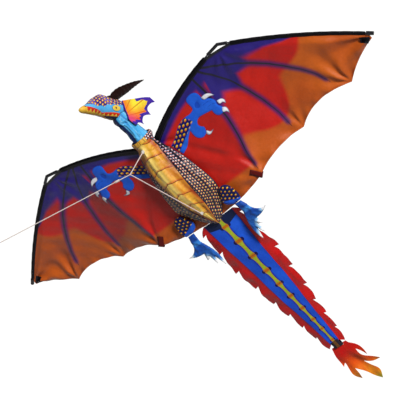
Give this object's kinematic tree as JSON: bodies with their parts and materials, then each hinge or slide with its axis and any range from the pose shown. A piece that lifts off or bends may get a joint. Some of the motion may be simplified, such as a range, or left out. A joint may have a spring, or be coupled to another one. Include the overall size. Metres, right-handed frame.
{
  "type": "dragon kite",
  "caption": "Flying kite shaped like a winged dragon: rod-framed fabric wings, inflated body, stuffed head and legs, long tail, bridle and line.",
  "frame": {"origin": "tow point, where the two bridle legs meet the flying line", "axes": "+X across the wings to the kite's left hand, +Y from belly to back, +Z along the spine from tail to head"},
  "size_m": [1.4178, 1.0303, 1.1855],
  "materials": {
    "printed_sail": "satin",
    "blue_applique": "satin",
    "white_claw": "satin",
    "black_fabric": "matte",
    "fibreglass_rod": "satin",
    "black_plastic": "satin",
    "metal_ferrule": "satin",
    "dark_red_fabric": "matte",
    "dark_fabric": "matte",
    "gold_fabric": "satin",
    "scale_print_fabric": "satin",
    "gold_hem": "satin",
    "webbing": "matte",
    "blue_fabric": "satin",
    "red_fabric": "satin",
    "light_blue_fabric": "satin",
    "head_print_fabric": "satin",
    "navy_fabric": "matte",
    "yellow_eye": "satin",
    "brown_fabric": "satin",
    "frill_print_fabric": "satin",
    "flame_fabric": "satin",
    "bridle_cord": "matte",
    "line_cord": "matte"
  },
  "bodies": {
    "airframe": {"nose_hub": "black_plastic", "spine_upper": "fibreglass_rod", "spine_ferrule": "metal_ferrule", "spine_lower": "fibreglass_rod", "tail_end_cap": "black_plastic", "belly_panel": "gold_fabric", "left_flank": "scale_print_fabric", "right_flank": "scale_print_fabric", "body_collar": "gold_hem", "tow_loops": "webbing", "tail_panel": "blue_fabric", "left_tail_frill": "red_fabric", "right_tail_frill": "red_fabric", "tail_end_pocket": "dark_fabric", "left_thigh": "blue_applique", "right_thigh": "blue_applique"},
    "left_wing": {"left_root_tube": "black_plastic", "left_inner_spar": "fibreglass_rod", "left_wrist_connector": "black_plastic", "left_outer_spar": "fibreglass_rod", "left_tip_cap": "black_plastic", "left_tip_patch": "black_fabric", "left_inner_sleeve": "black_fabric", "left_outer_sleeve": "black_fabric", "left_sail": "printed_sail", "left_batten_rod": "fibreglass_rod", "left_batten_pocket": "dark_red_fabric", "left_foreleg": "blue_applique", "left_foreleg_claws": "white_claw"},
    "right_wing": {"right_root_tube": "black_plastic", "right_inner_spar": "fibreglass_rod", "right_wrist_connector": "black_plastic", "right_outer_spar": "fibreglass_rod", "right_tip_cap": "black_plastic", "right_tip_patch": "black_fabric", "right_inner_sleeve": "black_fabric", "right_outer_sleeve": "black_fabric", "right_sail": "printed_sail", "right_batten_rod": "fibreglass_rod", "right_batten_pocket": "dark_red_fabric", "right_foreleg": "blue_applique", "right_foreleg_claws": "white_claw"},
    "neck": {"neck_tube": "light_blue_fabric"},
    "head": {"head_shell": "head_print_fabric", "lower_jaw": "navy_fabric", "eyes": "yellow_eye", "left_horn": "brown_fabric", "right_horn": "brown_fabric", "left_frill": "frill_print_fabric", "right_frill": "frill_print_fabric"},
    "left_lower_leg": {"left_shank": "blue_applique"},
    "right_lower_leg": {"right_shank": "blue_applique"},
    "flame": {"tail_flame": "flame_fabric"},
    "bridle": {"bridle_front_leg": "bridle_cord", "bridle_rear_leg": "bridle_cord", "tow_knot": "bridle_cord"},
    "line": {"flying_line": "line_cord", "line_knot": "line_cord", "line_end_loop": "line_cord"}
  },
  "joints": [
    {"name": "right_wing_fold", "type": "hinge", "parent": "airframe", "child": "right_wing", "pos_m": [0.009, 0.1651, -0.147], "axis": [0, 0, 1], "range_deg": [0, 75]},
    {"name": "left_wing_fold", "type": "hinge", "parent": "airframe", "child": "left_wing", "pos_m": [-0.009, 0.1651, -0.147], "axis": [0, 0, -1], "range_deg": [0, 75]},
    {"name": "neck_bend", "type": "hinge", "parent": "airframe", "child": "neck", "pos_m": [0, 0.164, 0.023], "axis": [1, 0, 0], "range_deg": [-12, 25], "stiffness_Nm_per_rad": 0.8},
    {"name": "head_nod", "type": "hinge", "parent": "neck", "child": "head", "pos_m": [0, 0.158, 0.109], "axis": [1, 0, 0], "range_deg": [-15, 20], "stiffness_Nm_per_rad": 0.6},
    {"name": "right_knee_swing", "type": "hinge", "parent": "airframe", "child": "right_lower_leg", "pos_m": [0.0955, 0.15, -0.278], "axis": [-1, 0, 0], "range_deg": [0, 60]},
    {"name": "left_knee_swing", "type": "hinge", "parent": "airframe", "child": "left_lower_leg", "pos_m": [-0.0955, 0.15, -0.278], "axis": [-1, 0, 0], "range_deg": [0, 60]},
    {"name": "flame_swing", "type": "hinge", "parent": "airframe", "child": "flame", "pos_m": [0, 0.1675, -0.81], "axis": [-1, 0, 0], "range_deg": [-50, 50]},
    {"name": "bridle_swing", "type": "hinge", "parent": "airframe", "child": "bridle", "pos_m": [0, 0.119, 0.003], "axis": [0, -0.0124, 0.9999], "range_deg": [-45, 45]},
    {"name": "line_sway", "type": "hinge", "parent": "bridle", "child": "line", "pos_m": [0, 0, 0], "axis": [0, 0, 1], "range_deg": [-30, 30]}
  ]
}
